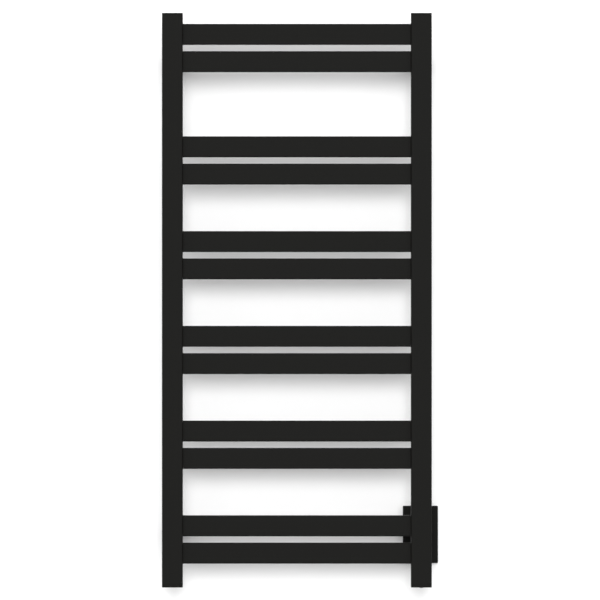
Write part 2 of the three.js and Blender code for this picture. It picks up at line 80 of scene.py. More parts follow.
GAP = 0.3  # between pieces that touch
POST_WALL, POST_CORNER = 1.5, 2.5
BAR_WALL, BAR_CORNER = 1.2, 2.0
BAR_POINTS = 1.1  # distance between the points of a bar's outline, fine enough for the ripple
WELD, WELD_STAND_OFF = 1.4, 0.02  # leg of the fillet that joins a bar to its post, and its gap
RIPPLE, RIPPLE_PITCH = 0.06, 2.2  # of the weld, as a share of its leg, and along it
CAP_PLATE, CAP_SKIRT_WALL, CAP_EDGE, CAP_LEAST_CORNER = 4.0, 1.2, 0.7, 0.6
NUT_ACROSS, NUT_HEIGHT, NUT_HOLE_DEPTH = 15.0, 7.0, 12.0
LEG_WALL, LEG_CORNER = 3.0, 2.0
STUB_WALL, STUB_CORNER = 2.2, 1.0
FLANGE = {"thick": 4.0, "corner": 2.0, "screw": 2.75, "sink": 5.5, "sink_depth": 2.6}
STRAP = {"thick": 2.0, "corner": 4.0, "lead_hole": 6.0, "slots": 83.3, "cover_screw": 1.8}
STRAP_SLOT = (8.0, 4.0, 1.99)  # width, height and corner
ROSETTE_WALL, ROSETTE_CORNER, ROSETTE_EDGE, ROSETTE_LEAST_CORNER = 1.6, 2.5, 2.0, 1.5
COVER_DEPTH, COVER_WALL, COVER_CORNER, COVER_EDGE = 8.0, 1.5, 2.0, 1.2
COVER_LEAST_CORNER = 0.5
COVER_SINK = [(2, 5), (2, 6.5), (4, 8.5)]  # (radius, height) of the hole for a cover screw
COLLAR = {"margin": 4.0, "corner": 3.5, "edge": 1.0}
COVER_SCREWS = ("cover_screw_upper", "cover_screw_lower")
BOLT = {"radius": 4.0, "head_radius": 6.5, "head": 8.0, "edge": 0.6, "socket": 6.0, "deep": 4.0}
HOLLOW_BOLT = {"radius": 5.0, "head": 5.0, "bore": 3.4, "across": 13.9}
BOLT_THREAD, BOLT_PITCH = 9.0, 1.25  # how far it runs from the tip, and its pitch
SET_SCREW = {"pitch": 0.8, "ridge": 0.3, "point": 0.4, "socket": 2.5, "deep": 1.7}
SMALL_PITCH, SMALL_RIDGE = 0.7, 0.25  # of the cover screws and the earth screw
EARTH_HOLE = 2.3
SWITCH_HOLE, SWITCH_PITCH, SWITCH_WIDE = 8.2, 1.0, 9.0
BLADE_X = 2.5  # how far each of the switch's two blades is from its middle
CABLE_BEND = 10.0
SUPPLY_RADIUS, WIRE_RADIUS = 3.0, 1.4
TERMINAL = {"pole": 6.2, "well": 2.1, "well_depth": 5.0, "well_inset": 7.0, "rib": 3.1}

record = frame["record"]
slot_of = {row["node"]: row["material_slot"] for row in record["subparts"]}
body_of = {node: body for body, nodes in record["behaviour"]["bodies"].items() for node in nodes}


# ------------------------------------------------------------------ places, from the frame


class Box:
    """Where a CAD node is, in millimetres."""

    def __init__(self, node):
        low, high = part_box(node)
        self.low, self.high = low / MM, high / MM
        self.centre, self.size = (self.low + self.high) / 2, self.high - self.low


# ------------------------------------------------------------------ outlines and directions


def rounded(width, height, radius, spacing=None):
    """A rectangle with round corners, as (u, v) points. A spacing divides its straight sides."""
    radius = max(radius, LEAST_RADIUS)
    corners = ((1, 1, 0), (-1, 1, 90), (-1, -1, 180), (1, -1, 270))
    points = []
    for sign_u, sign_v, start in corners:
        for step in range(ROUND_STEPS + 1):
            angle = math.radians(start + 90 * step / ROUND_STEPS)
            points.append(
                (
                    sign_u * (width / 2 - radius) + radius * math.cos(angle),
                    sign_v * (height / 2 - radius) + radius * math.sin(angle),
                )
            )
    if spacing is None:
        return points
    divided = []
    for (u0, v0), (u1, v1) in zip(points, points[1:] + points[:1]):
        count = max(1, round(math.hypot(u1 - u0, v1 - v0) / spacing))
        for k in range(count):
            divided.append((u0 + (u1 - u0) * k / count, v0 + (v1 - v0) * k / count))
    return divided


def square(size, radius):
    return rounded(size, size, radius)


def circle(radius, sides=ROUND_SIDES):
    angles = [2 * math.pi * k / sides for k in range(sides)]
    return [(radius * math.cos(a), radius * math.sin(a)) for a in angles]


def across(flats, sides=6):
    """A regular polygon, given by the distance between its flats."""
    return circle(flats / 2 / math.cos(math.pi / sides), sides)


# Each of these three turns an outline's (u, v) and a distance h along its direction into a
# point of the frame.


def UP(u, v, h):
    return u, v, h


def OUT(u, v, h):
    """Out of the wall."""
    return u, -h, v


def ACROSS(u, v, h):
    return h, u, v


def quarter_turn(steps):
    return [math.pi / 2 * k / steps for k in range(steps + 1)]


def quarter(radius):
    """(inset, drop) pairs down a round edge, from the flat face's edge to the side."""
    turn = quarter_turn(ROUND_STEPS)
    return [(radius * (1 - math.sin(a)), radius * (1 - math.cos(a))) for a in turn]


def concave(radius, steps=5):
    """(drop, inset) pairs down a fillet, from where it meets the post to where it meets the bar."""
    return [(radius * math.sin(a), radius * (1 - math.cos(a))) for a in quarter_turn(steps)]


# ------------------------------------------------------------------ solids


def loft(rings, direction, at=(0, 0, 0), ring_closed=False):
    """A closed solid through (outline, h) rings.

    It is capped at both ends, or, if ring_closed, its last ring joins its first.
    """
    shape = bmesh.new()
    loops = [
        [shape.verts.new([a + b for a, b in zip(direction(u, v, h), at)]) for u, v in outline]
        for outline, h in rings
    ]
    count = len(loops[0])
    following = loops[1:] + (loops[:1] if ring_closed else [])
    for loop, after in zip(loops, following):
        for i in range(count):
            j = (i + 1) % count
            shape.faces.new((loop[i], loop[j], after[j], after[i]))
    if not ring_closed:
        shape.faces.new(loops[0])
        shape.faces.new(loops[-1])
    bmesh.ops.recalc_face_normals(shape, faces=shape.faces)
    return shape


def prism(outline, low, high, direction, at=(0, 0, 0)):
    return loft([(outline, low), (outline, high)], direction, at)


def turned(profile, direction, at=(0, 0, 0), ring_closed=False, sides=ROUND_SIDES):
    """A solid of (radius, height) points turned about its direction."""
    rings = [(circle(radius, sides), height) for radius, height in profile]
    return loft(rings, direction, at, ring_closed)


def to_object(shape):
    mesh = bpy.data.meshes.new("working")
    shape.to_mesh(mesh)
    shape.free()
    obj = bpy.data.objects.new("working", mesh)
    bpy.context.scene.collection.objects.link(obj)
    return obj


def combine(base, others, operation):
    """Cuts the others out of the base, or joins them to it, one at a time."""
    for other in others:
        target, tool = to_object(base), to_object(other)
        step = target.modifiers.new("step", "BOOLEAN")
        step.operation, step.solver, step.object = operation, "EXACT", tool
        bpy.context.view_layer.update()
        result = target.evaluated_get(bpy.context.evaluated_depsgraph_get()).to_mesh()
        base = bmesh.new()
        base.from_mesh(result)
        for obj in (target, tool):
            mesh = obj.data
            bpy.data.objects.remove(obj)
            bpy.data.meshes.remove(mesh)
        bmesh.ops.remove_doubles(base, verts=base.verts, dist=MERGE)
    return base


def cut(base, *tools):
    return combine(base, [gather(tools)], "DIFFERENCE")


def fuse(base, *tools):
    return combine(base, tools, "UNION")


def gather(shapes):
    """Several solids that don't meet, as one."""
    whole = bmesh.new()
    for shape in shapes:
        mesh = bpy.data.meshes.new("working")
        shape.to_mesh(mesh)
        shape.free()
        whole.from_mesh(mesh)
        bpy.data.meshes.remove(mesh)
    return whole


def break_edges(shape, width=SOFT_EDGE):
    """Rounds every sharp edge a little, as real edges are, so that each one catches the light."""
    bmesh.ops.dissolve_limit(
        shape,
        angle_limit=math.radians(FLAT_WITHIN),
        verts=shape.verts,
        edges=shape.edges,
        delimit=set(),
    )
    sharp_from = math.radians(SHARP_FROM)
    sharp = [e for e in shape.edges if e.is_manifold and e.calc_face_angle() > sharp_from]
    bmesh.ops.bevel(
        shape,
        geom=sharp,
        offset=width,
        segments=2,
        profile=0.5,
        affect="EDGES",
        clamp_overlap=True,
    )
    return shape


def sweep(points, radius, sides=16):
    """A round wire of that radius along points, twisted as little as the route allows."""
    path = [Vector(p) for p in points]
    tangents = [(b - a).normalized() for a, b in zip(path[:1] + path[:-1], path[1:] + path[-1:])]
    side = tangents[0].orthogonal().normalized()
    shape = bmesh.new()
    loops = []
    for point, tangent in zip(path, tangents):
        side = (side - tangent * side.dot(tangent)).normalized()
        other = tangent.cross(side)
        outline = circle(radius, sides)
        loops.append([shape.verts.new(point + side * u + other * v) for u, v in outline])
    for loop, after in zip(loops, loops[1:]):
        for i in range(sides):
            j = (i + 1) % sides
            shape.faces.new((loop[i], loop[j], after[j], after[i]))
    shape.faces.new(loops[0])
    shape.faces.new(loops[-1])
    bmesh.ops.recalc_face_normals(shape, faces=shape.faces)
    return shape


def route(corners, bend, steps=8):
    """A path through corners, each rounded by an arc of the bend radius."""
    at = [Vector(c) for c in corners]
    points = [at[0]]
    for before, corner, after in zip(at, at[1:], at[2:]):
        back, on = (before - corner).normalized(), (after - corner).normalized()
        half = (math.pi - back.angle(on)) / 2
        centre = corner + (back + on).normalized() * (bend / math.cos(half))
        start = corner + back * (bend * math.tan(half)) - centre
        end = corner + on * (bend * math.tan(half)) - centre
        for k in range(steps + 1):
            points.append(centre + start.slerp(end, k / steps).normalized() * bend)
    return points + [at[-1]]


# ------------------------------------------------------------------ materials


def set_range(node, from_low, from_high, to_low, to_high):
    numbers = {"From Min": from_low, "From Max": from_high, "To Min": to_low, "To Max": to_high}
    for name, number in numbers.items():
        node.inputs[name].default_value = number


class Nodes:
    """A material's node tree, with short ways to add and join nodes."""

    def __init__(self, name):
        self.material = bpy.data.materials.new(name)
        self.material.use_nodes = True
        self.tree = self.material.node_tree
        self.shader = self.tree.nodes["Principled BSDF"]
        self.place = self.add("ShaderNodeTexCoord").outputs["Object"]

    def add(self, kind, **settings):
        node = self.tree.nodes.new(kind)
        for name, value in settings.items():
            if name in node.inputs:
                node.inputs[name].default_value = value
            else:
                setattr(node, name, value)
        return node

    def join(self, output, target):
        self.tree.links.new(output, target)

    def noise(self, scale, detail=3.0):
        """Noise over the piece's own coordinates; the scale is its features to the metre."""
        node = self.add("ShaderNodeTexNoise", Scale=scale, Detail=detail, Roughness=0.55)
        self.join(self.place, node.inputs["Vector"])
        return node.outputs["Fac"]

    def spread(self, value, low, high, sharp):
        """Maps a 0 to 1 noise onto low to high; sharp narrows the part of it that counts."""
        node = self.add("ShaderNodeMapRange")
        set_range(node, sharp, 1 - sharp, low, high)
        self.join(value, node.inputs["Value"])
        return node.outputs["Result"]

    def colour(self, value, first, second, sharp=0.3):
        node = self.add("ShaderNodeValToRGB")
        low, high = node.color_ramp.elements
        low.position, low.color = sharp, (*first, 1)
        high.position, high.color = 1 - sharp, (*second, 1)
        self.join(value, node.inputs["Fac"])
        self.join(node.outputs["Color"], self.shader.inputs["Base Color"])

    def roughness(self, value, low, high, sharp=0.3):
        self.join(self.spread(value, low, high, sharp), self.shader.inputs["Roughness"])

    def bump(self, value, depth):
        """Raises the surface by up to depth metres where the value is high, on any earlier bump."""
        node = self.add("ShaderNodeBump", Strength=1.0, Distance=depth)
        self.join(value, node.inputs["Height"])
        linked = self.shader.inputs["Normal"].links
        if linked:
            self.join(linked[0].from_socket, node.inputs["Normal"])
        self.join(node.outputs["Normal"], self.shader.inputs["Normal"])


def powder_coat():
    m = Nodes("powder_coat")
    m.shader.inputs["Specular IOR Level"].default_value = 0.06
    m.colour(m.noise(1300.0, 3.0), (0.0036, 0.0036, 0.0031), (0.0060, 0.0060, 0.0053))
    m.roughness(m.noise(900.0, 3.0), 0.46, 0.62)
    m.bump(m.noise(420.0, 2.0), 0.00008)
    m.bump(m.noise(1900.0, 2.0), 0.00006)
    return m.material


def zinc_steel():
    m = Nodes("zinc_steel")
    m.shader.inputs["Metallic"].default_value = 1.0
    m.colour(m.noise(120.0, 4.0), (0.33, 0.34, 0.335), (0.44, 0.435, 0.41))
    m.roughness(m.noise(700.0, 3.0), 0.26, 0.44)
    m.bump(m.noise(1500.0, 3.0), 0.00001)
    return m.material


def black_steel():
    m = Nodes("black_steel")
    m.shader.inputs["Metallic"].default_value = 0.6
    m.colour(m.noise(300.0, 4.0), (0.018, 0.018, 0.019), (0.034, 0.033, 0.032))
    m.roughness(m.noise(900.0, 3.0), 0.32, 0.48)
    m.bump(m.noise(1800.0, 3.0), 0.00001)
    return m.material


def moulded(name, dark, light, rough=(0.45, 0.6), grain=0.00002):
    """A moulded or extruded plastic or rubber, a little uneven in colour and finish."""
    m = Nodes(name)
    m.colour(m.noise(150.0, 3.0), dark, light)
    m.roughness(m.noise(500.0, 3.0), *rough)
    m.bump(m.noise(2600.0, 2.0), grain)
    return m


def light_pipe():
    m = moulded("light_pipe", (0.60, 0.68, 0.76), (0.70, 0.78, 0.85), (0.25, 0.4), 0.00001)
    m.shader.inputs["Transmission Weight"].default_value = 0.35
    m.shader.inputs["IOR"].default_value = 1.49
    return m.material


# Each moulded finish: its darkest and lightest colour, then its range of roughness if unusual.
MOULDED = {
    "nylon": ((0.70, 0.67, 0.58), (0.80, 0.78, 0.70)),
    "black_nylon": ((0.010, 0.010, 0.010), (0.018, 0.018, 0.018)),
    "lead_sheath": ((0.028, 0.030, 0.034), (0.042, 0.045, 0.050), (0.6, 0.75)),
    "heater_silicone": ((0.22, 0.036, 0.018), (0.31, 0.055, 0.026), (0.55, 0.7)),
    "wire_silicone": ((0.52, 0.50, 0.43), (0.62, 0.60, 0.53), (0.5, 0.65)),
    "earth_silicone": ((0.035, 0.14, 0.030), (0.055, 0.19, 0.046), (0.5, 0.65)),
}
FINISHES = {
    "powder_coat": powder_coat(),
    "zinc_steel": zinc_steel(),
    "black_steel": black_steel(),
    "light_pipe": light_pipe(),
}
for name, looks in MOULDED.items():
    FINISHES[name] = moulded(name, *looks).material


def dress(node, shape):
    """Makes the finished piece that stands for a CAD node, from a shape in millimetres."""
    mesh = bpy.data.meshes.new(f"{node}_detail")
    shape.to_mesh(mesh)
    shape.free()
    for vertex in mesh.vertices:
        vertex.co *= MM
    mesh.shade_smooth()
    mesh.set_sharp_from_angle(angle=math.radians(SMOOTH_BELOW))
    mesh.materials.append(FINISHES[slot_of[node]])
    piece = bpy.data.objects.new(f"{node}_detail", mesh)
    bpy.context.scene.collection.objects.link(piece)
    even = piece.modifiers.new("flat faces shade flat", "WEIGHTED_NORMAL")
    even.keep_sharp, even.weight = True, 100
    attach(piece, body_of[node])
    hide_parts(node)
    return piece


# ------------------------------------------------------------------ the frame


ROWS, COLUMNS = ("upper", "lower"), ("left", "right")
CORNERS = [f"{row}_{column}" for row in ROWS for column in COLUMNS]
WIRED = "lower_right"  # the bracket that the lead comes through
BARS = [f"crossbar_{number:02d}" for number in range(1, 13)]


def bolt_radius(where):
    return HOLLOW_BOLT["radius"] if where == WIRED else BOLT["radius"]


def bracket_at(where):
    """A bracket's centre line, which runs straight out of the wall."""
    leg = Box(f"leg_{where}")
    return leg.centre.x, 0, leg.centre.z


def post(side):
    box = Box(f"{side}_post")
    width, depth, _ = box.size
    outer = rounded(width, depth, POST_CORNER)
    inner = rounded(width - 2 * POST_WALL, depth - 2 * POST_WALL, POST_CORNER - POST_WALL)
    low, high = box.low.z, box.high.z
    rings = [(outer, low), (outer, high), (inner, high), (inner, low)]
    shape = loft(rings, UP, (box.centre.x, box.centre.y, 0), ring_closed=True)
    face = box.low.x if side == "right" else box.high.x
    back, reach = -box.high.y, 2 * POST_WALL
    nuts, holes = [], []
    for name in BARS:
        bar = Box(name)
        outline = rounded(bar.size.y + 2 * GAP, bar.size.z + 2 * GAP, BAR_CORNER + GAP)
        holes.append(prism(outline, -reach, reach, ACROSS, (face, bar.centre.y, bar.centre.z)))
    for where in CORNERS:
        if where.endswith(side):
            at = bracket_at(where)
            nut_end = back + POST_WALL + NUT_HEIGHT
            nuts.append(prism(across(NUT_ACROSS), back + PAST, nut_end, OUT, at))
            bolt_hole = circle(bolt_radius(where) + GAP)
            holes.append(prism(bolt_hole, back - PAST, back + NUT_HOLE_DEPTH, OUT, at))
    if side == "right":
        screw = Box("earth_screw")
        at = (screw.centre.x, 0, screw.centre.z)
        holes.append(prism(circle(EARTH_HOLE), back - PAST, back + reach, OUT, at))
    return cut(fuse(shape, *nuts), *holes)


def crossbar(name):
    """A flat hollow bar. The weld at each end, which joins it to the post, is part of it."""
    bar = Box(name)
    face = Box("right_post").low.x - WELD_STAND_OFF
    depth, height = bar.size.y, bar.size.z
    base = rounded(depth, height, BAR_CORNER, spacing=BAR_POINTS)
    steps = [math.dist(a, b) for a, b in zip(base[-1:] + base[:-1], base)]
    around = [2 * math.pi * sum(steps[: k + 1]) / sum(steps) for k in range(len(base))]
    waves = round(sum(steps) / RIPPLE_PITCH)

    def core(w, size):
        """w, held to the straight middle of a side of that size."""
        return max(BAR_CORNER - size / 2, min(size / 2 - BAR_CORNER, w))

    def grown(by):
        """The bar's outline moved outwards, with the fine steps that a weld pool leaves."""
        points = []
        for (u, v), angle in zip(base, around):
            core_u, core_v = core(u, depth), core(v, height)
            ripple = 1 + RIPPLE * math.sin(waves * angle)
            reach = 1 + by * ripple / math.dist((u, v), (core_u, core_v))
            points.append((core_u + (u - core_u) * reach, core_v + (v - core_v) * reach))
        return points

    half = [(base, bar.high.x), (base, face)]
    half += [(grown(WELD - drop), face - inset) for drop, inset in concave(WELD)]
    inner = [(u * (1 - 2 * BAR_WALL / depth), v * (1 - 2 * BAR_WALL / height)) for u, v in base]
    rings = half + [(outline, -h) for outline, h in reversed(half)]
    rings += [(inner, bar.low.x), (inner, bar.high.x)]
    return loft(rings, ACROSS, (0, bar.centre.y, bar.centre.z), ring_closed=True)


def end_cap(node):
    """A plate over the post's end, its outer edge rounded, with a hollow skirt inside the post."""
    box = Box(node)
    top = node.startswith("top")
    width, depth, height = box.size

    def ring(inset, drop):
        corner = max(POST_CORNER - inset, CAP_LEAST_CORNER)
        outline = rounded(width - 2 * inset, depth - 2 * inset, corner)
        return outline, (box.high.z - drop if top else box.low.z + drop)

    skirt = POST_WALL + GAP
    inside = skirt + CAP_SKIRT_WALL
    rings = [ring(inset, drop) for inset, drop in quarter(CAP_EDGE)]
    rings += [ring(0, CAP_PLATE), ring(skirt, CAP_PLATE), ring(skirt, height)]
    rings += [ring(inside, height), ring(inside, CAP_PLATE)]
    return loft(rings, UP, (box.centre.x, box.centre.y, 0))


# ------------------------------------------------------------------ the wall brackets


def leg(where):
    box = Box(f"leg_{where}")
    at = bracket_at(where)
    size, near, far = box.size.x, -box.high.y, -box.low.y
    outer, inner = square(size, LEG_CORNER), square(size - 2 * LEG_WALL, LEG_CORNER / 2)
    shape = loft([(inner, far - LEG_WALL), (inner, near), (outer, near), (outer, far)], OUT, at)
    screw = Box(f"set_screw_{where}")
    screw_at = (at[0], screw.centre.y, at[2])
    low, high = -size / 2 - PAST, PAST - size / 2 + LEG_WALL
    screw_hole = prism(circle(screw.size.x / 2 + GAP), low, high, UP, screw_at)
    bolt_hole = circle(bolt_radius(where) + GAP)
    return cut(shape, prism(bolt_hole, far - LEG_WALL - PAST, far + PAST, OUT, at), screw_hole)


def rosette(where):
    """A deep square cover over the foot of a leg, open at the wall, with a rounded front edge."""
    box = Box(f"rosette_{where}")
    size, depth = box.size.x, box.size.y
    hole = (size - Box(f"leg_{where}").size.x) / 2 - GAP

    def ring(inset, h):
        return square(size - 2 * inset, max(ROSETTE_CORNER - inset, ROSETTE_LEAST_CORNER)), h

    rings = [ring(ROSETTE_WALL, 0), ring(0, 0)]
    rings += [ring(inset, depth - drop) for inset, drop in reversed(quarter(ROSETTE_EDGE))]
    within = depth - ROSETTE_WALL
    rings += [ring(hole, depth), ring(hole, within), ring(ROSETTE_WALL, within)]
    return loft(rings, OUT, bracket_at(where), ring_closed=True)


def junction_cover():
    """A single-gang wall plate with a pillowed edge, and a square collar round the leg."""
    box = Box("junction_cover")
    at = bracket_at(WIRED)
    width, height = box.size.x, box.size.z

    def ring(inset, h):
        corner = max(COVER_CORNER - inset, COVER_LEAST_CORNER)
        return rounded(width - 2 * inset, height - 2 * inset, corner), h

    within = COVER_DEPTH - COVER_WALL
    rings = [ring(COVER_WALL, within), ring(COVER_WALL, 0), ring(0, 0)]
    rings += [ring(inset, COVER_DEPTH - drop) for inset, drop in reversed(quarter(COVER_EDGE))]
    leg_size = Box(f"leg_{WIRED}").size.x
    collar_size, collar_depth = leg_size + COLLAR["margin"], box.size.y
    collar = [(square(collar_size, COLLAR["corner"]), within)]
    for inset, drop in reversed(quarter(COLLAR["edge"])):
        outline = square(collar_size - 2 * inset, COLLAR["corner"] - inset)
        collar.append((outline, collar_depth - drop))
    leg_hole = square(leg_size + 2 * GAP, LEG_CORNER + GAP)
    holes = [prism(leg_hole, -PAST, collar_depth + PAST, OUT, at)]
    for name in COVER_SCREWS:
        holes.append(turned(COVER_SINK, OUT, (at[0], 0, Box(name).centre.z)))
    return cut(fuse(loft(rings, OUT, at), loft(collar, OUT, at)), *holes)


def stub_tube(where, start, seat):
    """The square tube that a leg slides over, and the bore down it."""
    box = Box(f"wall_stub_{where}")
    size = Box(f"leg_{where}").size.x - 2 * LEG_WALL - 2 * GAP
    at, end = bracket_at(where), -box.low.y
    tube = prism(square(size, STUB_CORNER), start, end, OUT, at)
    bore = prism(square(size - 2 * STUB_WALL, STUB_CORNER / 2), seat, end + PAST, OUT, at)
    return tube, bore


def wall_stub(where):
    at = bracket_at(where)
    if where == WIRED:
        return box_stub(where, at)
    thick, narrow, wide = FLANGE["thick"], FLANGE["screw"], FLANGE["sink"]
    tube, bore = stub_tube(where, thick - PAST, thick)
    profile = [(narrow, -PAST), (narrow, thick - FLANGE["sink_depth"])]
    screw_hole = turned(profile + [(wide, thick + 0.15), (wide, thick + PAST)], OUT, at)
    flange = square(Box(f"wall_stub_{where}").size.x, FLANGE["corner"])
    return break_edges(cut(fuse(prism(flange, 0, thick, OUT, at), tube), bore, screw_hole))


def box_stub(where, at):
    """The lower right stub's strap spans the wall box, and it is open to the box for the lead."""
    box = Box(f"wall_stub_{where}")
    thick = STRAP["thick"]
    tube, bore = stub_tube(where, thick - PAST, thick)
    strap = prism(rounded(box.size.x, box.size.z, STRAP["corner"]), 0, thick, OUT, at)

    def hole(outline, z):
        return prism(outline, -PAST, thick + PAST, OUT, (at[0], 0, z))

    holes = [hole(circle(STRAP["lead_hole"]), at[2])]
    for side in (-1, 1):
        holes.append(hole(rounded(*STRAP_SLOT), at[2] + side * STRAP["slots"] / 2))
    for name in COVER_SCREWS:
        holes.append(hole(circle(STRAP["cover_screw"]), Box(name).centre.z))
    return break_edges(cut(cut(fuse(strap, tube), bore), *holes), FINE_EDGE)


# ------------------------------------------------------------------ fasteners


def thread(radius, low, high, pitch, ridge=0.35):
    """(radius, height) points of a screw thread's ridges between two heights."""
    foot, crest, end = 0.12 * pitch, 0.5 * pitch, 0.05 * pitch
    count = max(1, round((high - low) / pitch))
    points = []
    for k in range(count):
        start = low + (high - low) * k / count
        points += [(radius - ridge, start + foot), (radius, start + crest)]
    return points + [(radius - ridge, high - end)]


def leg_bolt(where):
    box = Box(f"leg_bolt_{where}")
    at = bracket_at(where)
    head, tip = -box.high.y, -box.low.y
    radius, plain_end = bolt_radius(where), tip - BOLT_THREAD
    threaded = thread(radius, plain_end, tip, BOLT_PITCH)
    if where == WIRED:
        seat = head + HOLLOW_BOLT["head"]
        hexagon = prism(across(HOLLOW_BOLT["across"]), head, seat, OUT, at)
        shank = turned([(radius, seat - PAST), (radius, plain_end)] + threaded, OUT, at)
        bore = prism(circle(HOLLOW_BOLT["bore"]), head - PAST, tip + PAST, OUT, at)
        return break_edges(cut(fuse(hexagon, shank), bore), FINE_EDGE)
    seat, wide = head + BOLT["head"], BOLT["head_radius"]
    profile = [(wide - inset, head + drop) for inset, drop in quarter(BOLT["edge"])]
    profile += [(wide, seat - FINE_EDGE), (wide - FINE_EDGE, seat)]
    profile += [(radius, seat), (radius, plain_end)] + threaded
    socket = prism(across(BOLT["socket"]), head - PAST, head + BOLT["deep"], OUT, at)
    return cut(turned(profile, OUT, at), socket)


def set_screw(where):
    box = Box(f"set_screw_{where}")
    at = (box.centre.x, box.centre.y, 0)
    radius, low, high = box.size.x / 2, box.low.z, box.high.z
    end = high - SET_SCREW["point"]
    threaded = thread(radius, low, end, SET_SCREW["pitch"], SET_SCREW["ridge"])
    profile = [(radius - 0.35, low)] + threaded + [(radius - 0.9, high)]
    socket = prism(across(SET_SCREW["socket"]), low - PAST, low + SET_SCREW["deep"], UP, at)
    return cut(turned(profile, UP, at), socket)


def cover_screw(name):
    """A slotted countersunk screw, its head in the plate's face."""
    box = Box(name)
    at = (box.centre.x, 0, box.centre.z)
    foot, head = -box.high.y, -box.low.y
    radius, head_radius = 1.5, 2.7
    profile = [(radius - 0.3, foot)] + thread(radius, foot, head - 2.2, SMALL_PITCH, SMALL_RIDGE)
    profile += [(radius, head - 1.35), (head_radius, head - 0.12), (head_radius, head - 0.1)]
    slot = prism(rounded(0.8, 20, LEAST_RADIUS), head - 0.5, head + 2, OUT, at)
    return cut(turned(profile + [(head_radius - 0.3, head)], OUT, at), slot)


def earth_screw():
    """A slotted screw with a domed head behind the post, its thread inside the post."""
    box = Box("earth_screw")
    at = (box.centre.x, 0, box.centre.z)
    head, tip = -box.high.y, -box.low.y
    radius, wide, seat = 2, 3.6, -Box("right_post").high.y
    profile = [(2.4, head + 0.05), (3.3, head + 0.5), (wide, head + 1.2)]
    profile += [(wide, seat - GAP), (radius, seat - GAP)]
    profile += thread(radius, seat + 0.5, tip, SMALL_PITCH, SMALL_RIDGE)
    slot = prism(rounded(20, 0.9, LEAST_RADIUS), head - PAST, head + 0.9, OUT, at)
    return cut(turned(profile, OUT, at), slot)


def lead_bushing():
    """A ring with a lip, its bore rounded where the lead runs through."""
    profile = [(3.5, 0.5), (3.7, 0.3), (5.5, 0.3), (5.7, 0.5), (5.7, 2.3), (6.7, 2.3)]
    profile += [(6.9, 2.5), (6.9, 3.6), (6.7, 3.8), (3.8, 3.8), (3.5, 3.5)]
    return turned(profile, OUT, bracket_at(WIRED), ring_closed=True)


# ------------------------------------------------------------------ the push switch


def switch_pieces():
    """The switch's pieces, each with its heights above the switch's own face."""
    cap = Box("bottom_right_cap")
    bezel = Box("switch_bezel")
    at = (bezel.centre.x, bezel.centre.y, cap.low.z)

    hole = [(SWITCH_WIDE + GAP, -PAST), (SWITCH_WIDE + GAP, 2.1)]
    hole += [(SWITCH_HOLE, 2.1), (SWITCH_HOLE, CAP_PLATE + PAST)]
    cap_hole = turned(hole, UP, at, sides=FINE_SIDES)
    yield "bottom_right_cap", cut(end_cap("bottom_right_cap"), cap_hole)

    radius = SWITCH_HOLE - GAP
    profile = [(6.2, 0.25), (6.45, 0)]
    profile += [(SWITCH_WIDE - inset, drop) for inset, drop in quarter(0.45)]
    profile += [(SWITCH_WIDE, 1.8), (radius, 1.8)] + thread(radius, 2.4, 23.6, SWITCH_PITCH)
    profile += [(7.5, 24), (6.2, 24)]
    yield "switch_bezel", turned(profile, UP, at, ring_closed=True, sides=FINE_SIDES)

    ring = [(4.9, 0.45), (5.05, 0.3), (5.75, 0.3), (5.9, 0.45), (5.9, 5), (4.9, 5)]
    yield "switch_light_ring", turned(ring, UP, at, ring_closed=True)

    button = Box("switch_button")
    wide, face, crown = button.size.x / 2, button.low.z - at[2], 1.2
    angles = quarter_turn(10)[1:]
    dome = [(wide * math.sin(a), face + crown * (1 - math.cos(a))) for a in angles]
    stem = [(wide, 2.9), (wide - GAP, 3.2), (2.2, 3.2), (2.2, 12.6), (1.8, button.high.z - at[2])]
    yield "switch_button", turned(dome + stem, UP, at)

    nut = Box("switch_locknut")
    low, high = nut.low.z - at[2], nut.high.z - at[2]
    hexagon = prism(across(nut.size.x), low, high, UP, at)
    nut_hole = prism(circle(SWITCH_HOLE, FINE_SIDES), low - PAST, high + PAST, UP, at)
    yield "switch_locknut", break_edges(cut(hexagon, nut_hole), 0.3)

    base = Box("switch_base")
    low, body_top, blade_top = base.low.z - at[2], 26, base.high.z - at[2]
    body = [(5.5, low), (5.9, low + 0.4), (5.9, body_top - 0.5), (5.4, body_top)]
    blade = rounded(0.8, 3, 0.15)
    blades = [
        prism(blade, body_top - 2, blade_top, UP, (at[0] + x, at[1], at[2]))
        for x in (-BLADE_X, BLADE_X)
    ]
    stem_hole = prism(circle(2.5), low - PAST, 15.5, UP, at)
    yield "switch_base", cut(fuse(turned(body, UP, at), *blades), stem_hole)

    spring = Box("switch_spring")
    wire, turns, sides = 0.35, 5, 28
    radius, low, high = spring.size.x / 2 - wire, spring.low.z + wire, spring.high.z - wire
    helix = []
    for k in range(turns * sides + 1):
        angle = 2 * math.pi * k / sides
        x, y = at[0] + radius * math.cos(angle), at[1] + radius * math.sin(angle)
        helix.append((x, y, low + (high - low) * k / (turns * sides)))
    yield "switch_spring", sweep(helix, wire, 10)


# ------------------------------------------------------------------ heating and wiring


def heating_cable():
    """One twin-core cable through every bar in turn, from the bottom right to the top."""
    cable = Box("heating_cable")
    joint = Box("cold_joint")
    side_x, y = joint.centre.x, joint.centre.y
    corners = [(side_x, y, cable.low.z)]
    side = 1
    for name in reversed(BARS):
        z = Box(name).centre.z
        corners += [(side * side_x, y, z), (-side * side_x, y, z)]
        side = -side
    corners[-1] = (Box("cable_end_seal").low.x - GAP, y, corners[-1][2])
    return sweep(route(corners, CABLE_BEND), cable.size.y / 2)


def crimped(low, high, wide, narrow):
    """A sleeve's outline with a ridge at each end."""
    half = [(wide - 0.9, 0), (wide, 1), (wide, 3.6), (narrow, 4.4)]
    return [(r, low + h) for r, h in half] + [(r, high - h) for r, h in reversed(half)]


